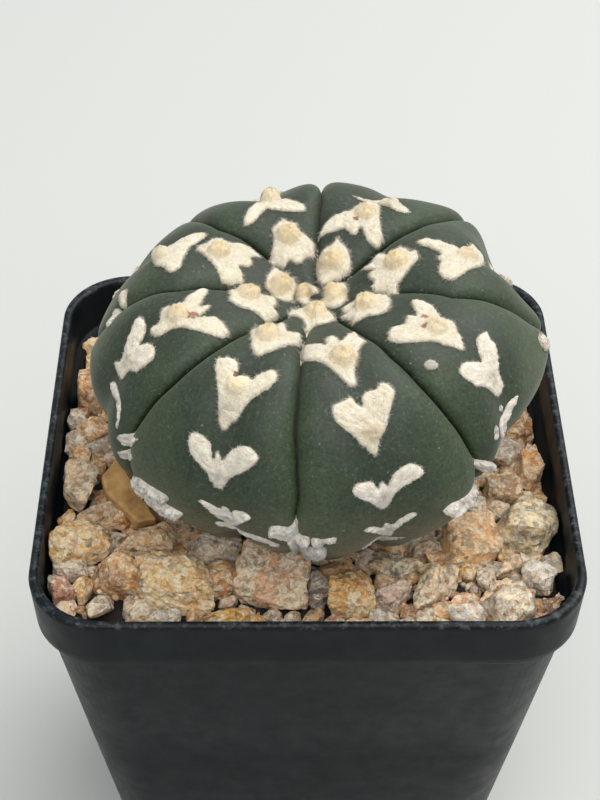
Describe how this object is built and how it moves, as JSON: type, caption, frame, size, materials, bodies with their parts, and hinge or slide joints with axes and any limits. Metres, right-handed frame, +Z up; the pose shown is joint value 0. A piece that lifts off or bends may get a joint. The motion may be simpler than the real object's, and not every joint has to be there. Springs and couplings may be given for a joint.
{
  "type": "potted nudum star cactus",
  "caption": "Low ribbed star cactus with V-shaped wool patches, standing in gravel-topped potting mix in a square nursery pot.",
  "frame": {"origin": "middle of the square pot's underside, on the surface that it stands on", "axes": "+Z up, X and Y along the pot's sides; the front of the picture is -Y"},
  "size_m": [0.07, 0.07, 0.1],
  "materials": {
    "pot_plastic": "thin black moulded plastic, satin, scuffed grey along the rim",
    "potting_mix": "dark brown gritty mix, dry and crumbly",
    "granite_gravel": "crushed granite chips in cream, ochre, orange brown and grey, rough",
    "cactus_skin": "dull dark green waxy skin, smooth, with cream wool on the areoles",
    "areole_wool": "dense cream felt and wool with frayed edges, yellow in the youngest tufts"
  },
  "bodies": {
    "root": {"nursery_pot": "pot_plastic", "potting_mix": "potting_mix", "gravel_top_dressing": "granite_gravel", "star_cactus": "cactus_skin"}
  },
  "joints": []
}
